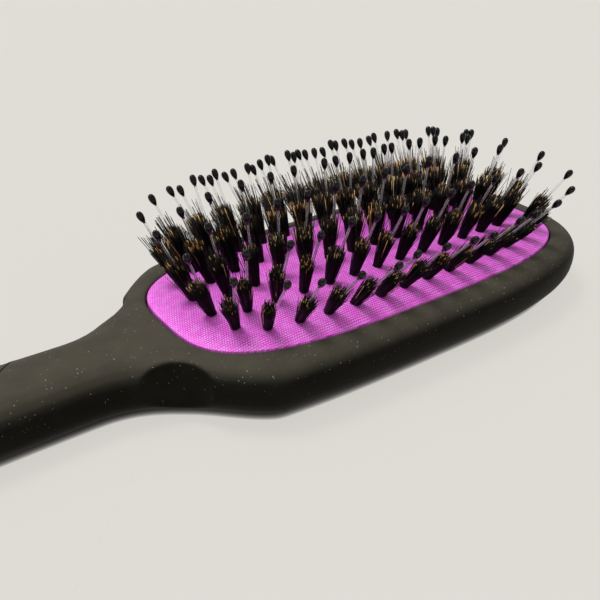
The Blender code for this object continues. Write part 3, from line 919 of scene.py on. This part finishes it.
def add_hair(bm, marks, foot, tip, bow, radius, tone, faded):
    """Copies the hair template into the row and lays it on its own bowed line."""
    first, second = side_pair((tip - foot).normalized())
    for vert in add_copy(bm, hair):
        share = vert.co.z
        bent = share * (1 - share) * BOW_MIDDLE + share * share * BOW_TIP
        line = foot.lerp(tip, share) + bow * bent
        vert[marks[0]] = share * faded
        vert[marks[1]] = tone
        vert.co = line + (first * vert.co.x + second * vert.co.y) * radius


def add_plug(bm, foot, direction):
    """Stands the plug template at the foot of a tuft."""
    radius = PLUG_RADIUS * PLUG_HEART_SHARE
    size = Matrix.Diagonal((radius, radius, PLUG_HEIGHT + FOOT_SINK, 1.0))
    place = Matrix.Translation(foot - direction * FOOT_SINK) @ stand_up(direction) @ size
    bmesh.ops.transform(bm, matrix=place, verts=add_copy(bm, plug))


print("a plug is", round(2000 * PLUG_RADIUS * PLUG_HEART_SHARE, 1), "mm thick")

# %% [markdown]
# The hairs of a tuft could all be alike, but a real broom is ragged. Seeded dice give each hair its
# own length, radius, spread and stray, so every run makes the same tufts. A few hairs stand wild,
# and a few long dark ones reach past the rest. As in the picture, the tufts of the far side are
# fuller and taller than the near ones. They are also more open, most of all toward the head's end.

# %% Hairs of a tuft
HAIRS_PER_TUFT = 220
FAR_EXTRA = 190
HAIR_RADIUS = 0.0001
HAIR_LENGTH = 0.0108
FAR_TALLER = 0.17
FAR_TALLER_POWER = 1.5
TUFT_ROCK = (0.015, -0.05)
TUFT_STRAY = 0.02
OPENING = 0.00148
FAR_OPENING = 0.0008
CROWD_OPENING = 0.0014
FAR_OPENING_POWER = 1.4
OPENING_RANGE = (-0.0001, 0.0003)
CROWDED_FROM = 0.018
GOLDEN_TURN = 2.39996
TURN_RANGE = (-0.3, 0.3)
SPREAD_RANGE = (0.75, 1.25)
WILD_CHANCE = 0.018
WILD_RANGE = (1.1, 1.7)
LENGTH_RANGE = (0.84, 1.05)
OUTER_SHORTER = 0.06
RADIUS_RANGE = (0.8, 1.15)
LONG_CHANCE = 0.03
LONG_RANGE = (1.06, 1.20)
FAR_LONGER = 0.14
LONG_RADIUS_RANGE = (1.1, 1.4)
LONG_TONE = 0.8
HAIR_STRAY = 0.00028
HAIR_BOW = 0.00012
FAR_FADE = 0.05


def random_side(dice, first, second, size):
    """A random step sideways."""
    return first * dice.gauss(0, size) + second * dice.gauss(0, size)


def add_tuft(bm, marks, x, y, dice):
    """One tuft: a plug, and hairs that open out round it."""
    direction = lean_direction(x, y, TUFT_ROCK)
    stray = Vector((dice.gauss(0, TUFT_STRAY), dice.gauss(0, TUFT_STRAY), 0))
    direction = (direction + stray).normalized()
    first, second = side_pair(direction)
    foot = Vector((x, y, crown(x, y) - DIMPLE_DEPTH))
    far = 1 - nearness(y)
    tall = HAIR_LENGTH * (1 + FAR_TALLER * far**FAR_TALLER_POWER)
    count = HAIRS_PER_TUFT + round(FAR_EXTRA * far)
    crowd = min(max((x - CROWDED_FROM) / HEAD_X, 0.0), 1.0)
    opening = OPENING + (FAR_OPENING + CROWD_OPENING * crowd) * far**FAR_OPENING_POWER
    opening += dice.uniform(*OPENING_RANGE)
    add_plug(bm, foot, direction)
    for number in range(count):
        turn = number * GOLDEN_TURN + dice.uniform(*TURN_RANGE)
        share = math.sqrt((number + 0.5) / count)
        outward = first * math.cos(turn) + second * math.sin(turn)
        spread = share * opening * dice.uniform(*SPREAD_RANGE)
        if dice.random() < WILD_CHANCE:
            spread = opening * dice.uniform(*WILD_RANGE)
        length = tall * dice.uniform(*LENGTH_RANGE) * (1 - OUTER_SHORTER * share * share)
        radius = HAIR_RADIUS * dice.uniform(*RADIUS_RANGE)
        tone = dice.random()
        if dice.random() < LONG_CHANCE * (1 + far):
            length = tall * dice.uniform(LONG_RANGE[0], LONG_RANGE[1] + FAR_LONGER * far)
            radius = HAIR_RADIUS * dice.uniform(*LONG_RADIUS_RANGE)
            tone *= LONG_TONE
        base = foot + outward * share * PLUG_RADIUS - direction * FOOT_SINK
        stray = random_side(dice, first, second, HAIR_STRAY)
        tip = foot + outward * spread + direction * length + stray
        bow = random_side(dice, first, second, HAIR_BOW)
        add_hair(bm, marks, base, tip, bow, radius, tone, 1 + FAR_FADE * far)


print("a near tuft has", HAIRS_PER_TUFT, "hairs of about", round(1000 * HAIR_LENGTH), "mm")

# %% [markdown]
# The hairs are natural bristle: black and slightly glossy, with tips that have split and faded to
# brown and gold. The gold is their own colour, pushed brighter as painted light that glints on and
# shines through the thin tips. The stored attributes drive that. Most hairs keep a dark tip, the
# ones with a higher tone end in gold, and a few of the highest tone fade from well below their tips,
# as they do in the picture.

# %% Bristle material
ROOT_DARK = (0.0022, 0.0018, 0.0018)
ROOT_LIGHT = (0.0055, 0.0042, 0.0036)
TIP_DARK = (0.010, 0.006, 0.003)
DEEP_GOLD_AND_GLOW = (1.0, 0.47, 0.15)
PALE_GOLD_AND_GLOW = (1.0, 0.78, 0.38)
FADE_START = 0.92
EARLY_FADE = -0.55
FADE_LENGTH = 0.07

bristle, tree, shader = new_material("boar bristle")
along = stored(tree, "along")
tone = stored(tree, "tone")
cloud = place_group(tree, grain, {"Place": object_place(tree), "Fineness": 2400.0})
root_colour = mix_colour(tree, cloud["Mottle"], ROOT_DARK, ROOT_LIGHT)
fade_from = scaled(tree, ramp_node(tree, tone, low=0.970, high=1.0), EARLY_FADE, FADE_START)
fade = ramp_node(tree, along, fade_from, sum_node(tree, "ADD", fade_from, FADE_LENGTH))
# partly painted light: the gold is made bright to stand for light glinting on and shining through the
# tips
gold = mix_colour(tree, cloud["Mottle"], DEEP_GOLD_AND_GLOW, PALE_GOLD_AND_GLOW)
tip_colour = mix_colour(tree, ramp_node(tree, tone, low=0.80, high=0.97), TIP_DARK, gold)
feed(tree, shader, {
    "Base Color": mix_colour(tree, fade, root_colour, tip_colour),
    "Roughness": scaled(tree, cloud["Grain"], by=0.2, plus=0.32),
    "Normal": bump_node(tree, cloud["Grain"], strength=0.15, distance=0.00003),
    "Specular IOR Level": 0.20,
})
print("boar bristle has", len(tree.nodes), "nodes")

# %% Fourteen rows of bristles
FIRST_SEED = 410


def bristle_row(number, places):
    """All the tufts of one row as one piece."""
    dice = random.Random(FIRST_SEED + number)
    bm = bmesh.new()
    marks = (bm.verts.layers.float.new("along"), bm.verts.layers.float.new("tone"))
    for x, y in places:
        add_tuft(bm, marks, x, y, dice)
    return finish_object(f"bristles_row_{number:02d}", bm)


triangles = 0
for number, places in enumerate(rows, start=1):
    piece = bristle_row(number, places)
    paint([piece], bristle)
    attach(piece, "bristle_field")
    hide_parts(f"tuft_row_{number:02d}")
    triangles += sum(len(face.vertices) - 2 for face in piece.data.polygons)
print("bristles have", triangles, "triangles")

# %% [markdown]
# ## Pins
#
# A nylon pin stands in the middle of each tuft. It is a thin clear stem with a drop of black resin
# on its end, widest near its top and running down the stem to a point. A drop could be a stretched
# ball, but spinning a profile round the pin's axis gives the true form in one step, and the same
# function turns the stem. The stem has one more ring of points close under its end. Smooth shading
# would otherwise bend the light all along the clear stem, as if its side leaned like the flat end.

# %% Turned shapes
SPIN_WELD = 0.000002


def turned(profile, sides):
    """A closed form of turning: profile points are radius and height, from the foot to the top."""
    bm = bmesh.new()
    points = [bm.verts.new((radius, 0.0, height)) for radius, height in profile]
    edges = [bm.edges.new(pair) for pair in zip(points, points[1:])]
    bmesh.ops.spin(bm, geom=points + edges, cent=(0, 0, 0), axis=(0, 0, 1), angle=2 * math.pi,
                   steps=sides, use_merge=True)
    bmesh.ops.remove_doubles(bm, verts=bm.verts, dist=SPIN_WELD)
    bmesh.ops.holes_fill(bm, edges=[edge for edge in bm.edges if edge.is_boundary], sides=0)
    bmesh.ops.recalc_face_normals(bm, faces=bm.faces)
    data = bpy.data.meshes.new("turned_template")
    bm.to_mesh(data)
    bm.free()
    return data


print("turning is ready")

# %% Stem and drop templates
PIN_LENGTH = 0.0208
DROP_LENGTH = 0.0031
DROP_RADIUS = 0.00082
DROP_SIDES = 14
DROP_STEPS = 10
DROP_TOP_HEAVY = 0.30
DROP_SEAT = 0.0004
NECK_SHARE = 0.035
STEM_RADIUS = 0.00036
STEM_FOOT_SHARE = 1.1
STEM_END_SHARE = 0.85
STEM_FOOT_TOP = 0.002
STEM_MIDDLE = 0.009
STEM_SIDES = 10
END_RING = 0.0003

drop_profile = []
for step in range(DROP_STEPS + 1):
    turn = math.pi * (NECK_SHARE + (1 - NECK_SHARE) * step / DROP_STEPS)
    fullness = math.sin(turn) * (1 - DROP_TOP_HEAVY * math.cos(turn))
    drop_profile.append((DROP_RADIUS * fullness, DROP_LENGTH * (1 - math.cos(turn)) / 2))
drop_profile[0] = (STEM_RADIUS, 0.0)
drop_profile[-1] = (0.0, DROP_LENGTH)
drop = turned(drop_profile, DROP_SIDES)
stem_top = PIN_LENGTH - DROP_LENGTH + DROP_SEAT
foot_radius = STEM_RADIUS * STEM_FOOT_SHARE
end_radius = STEM_RADIUS * STEM_END_SHARE
stem = turned([(foot_radius, -FOOT_SINK), (foot_radius, STEM_FOOT_TOP), (STEM_RADIUS, STEM_MIDDLE),
               (end_radius, stem_top - END_RING), (end_radius, stem_top)], STEM_SIDES)
print("a drop has", len(drop.polygons), "faces and a stem", len(stem.polygons))

# %% [markdown]
# One stem and one drop are the templates. They are copied for every pin and stood along its lean.
# Along the far side the picture shows a crowd of drops, about three to a tuft, so most tufts there
# get three pins that fan out, and the next lane gets two in the half toward the head's end.

# %% Pins on every tuft
PIN_SEED = 77
PIN_SCATTER = 0.03
PIN_FAN = 0.11
FAN_FOOT = 0.004
PIN_ROCK = (0.060, -0.125)
FAR_LANE = 0.0145
MIDDLE_FAR_LANE = 0.0075
PIN_LENGTH_RANGE = (-0.0004, 0.0)
FAR_LENGTH_RANGE = (-0.0002, 0.0012)


def stand_copies(name, template, places):
    """One piece with a copy of the template at each place, a foot and a direction."""
    bm = bmesh.new()
    for foot, direction in places:
        place = Matrix.Translation(foot) @ stand_up(direction)
        bmesh.ops.transform(bm, matrix=place, verts=add_copy(bm, template))
    return finish_object(name, bm)


dice = random.Random(PIN_SEED)
pins = []
for x, y in tufts:
    foot = Vector((x, y, crown(x, y)))
    way = lean_direction(x, y, PIN_ROCK)
    count = 1
    if y > FAR_LANE and x > CROWDED_FROM:
        count = 3
    elif y > MIDDLE_FAR_LANE and x > HEAD_X:
        count = 2
    for number in range(count):
        fan = PIN_FAN * (number - (count - 1) / 2)
        stray = Vector((fan + dice.gauss(0, PIN_SCATTER), dice.gauss(0, PIN_SCATTER), 0.0))
        length = PIN_LENGTH + dice.uniform(*PIN_LENGTH_RANGE)
        if y > FAR_LANE:
            length = PIN_LENGTH + dice.uniform(*FAR_LENGTH_RANGE)
        start = foot + Vector((fan * FAN_FOOT, 0.0, 0.0))
        pins.append((start, (way + stray).normalized(), length))
pin_stems = stand_copies("pin_stems", stem, [
    (foot + way * (length - PIN_LENGTH), way) for foot, way, length in pins])
pin_drops = stand_copies("pin_drops", drop, [
    (foot + way * (length - DROP_LENGTH), way) for foot, way, length in pins])
highest = max((foot + way * length).z for foot, way, length in pins)
print(len(pins), "pins, the highest reaches", round(1000 * highest, 1), "mm")

# %% [markdown]
# The stem is drawn nylon: clear, a little milky, with a soft highlight along it. Its transmission
# stays a plain number, so that it is still clear glass after the export. The drops are dipped
# resin, black and glossy, and each one mirrors the window near its top.

# %% Pin materials
NYLON_MILKY = (0.90, 0.90, 0.92)
NYLON_CLEAR = (0.98, 0.98, 0.99)
RESIN_DARK = (0.0020, 0.0020, 0.0022)
RESIN_LIGHT = (0.0050, 0.0050, 0.0050)
RESIN_DUST = (0.3, 0.3, 0.28)
RESIN_DUST_SHARE = 0.5

clear_nylon, tree, shader = new_material("clear nylon")
cloud = place_group(tree, grain, {"Place": object_place(tree), "Fineness": 1800.0})
feed(tree, shader, {
    "Base Color": mix_colour(tree, cloud["Mottle"], NYLON_MILKY, NYLON_CLEAR),
    "Roughness": scaled(tree, cloud["Grain"], by=0.10, plus=0.02),
    "Transmission Weight": 0.88,
    "IOR": 1.32,
})

drop_black, tree, shader = new_material("dipped black resin")
where = object_place(tree)
cloud = place_group(tree, grain, {"Place": where, "Fineness": 2600.0})
dusting = place_group(tree, dust, {"Place": where, "Cells per metre": 900.0, "Size": 0.10,
                                   "Share": 0.15})["Specks"]
resin = mix_colour(tree, cloud["Mottle"], RESIN_DARK, RESIN_LIGHT)
feed(tree, shader, {
    "Base Color": mix_colour(tree, scaled(tree, dusting, RESIN_DUST_SHARE), resin, RESIN_DUST),
    "Roughness": scaled(tree, cloud["Mottle"], by=0.03, plus=0.02),
    "Normal": bump_node(tree, cloud["Mottle"], strength=0.05, distance=0.00003),
    "IOR": 1.5,
    "Specular IOR Level": 0.30,
})

for piece, material in ((pin_stems, clear_nylon), (pin_drops, drop_black)):
    paint([piece], material)
    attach(piece, "bristle_field")
    print(piece.name, len(piece.data.polygons), "faces")
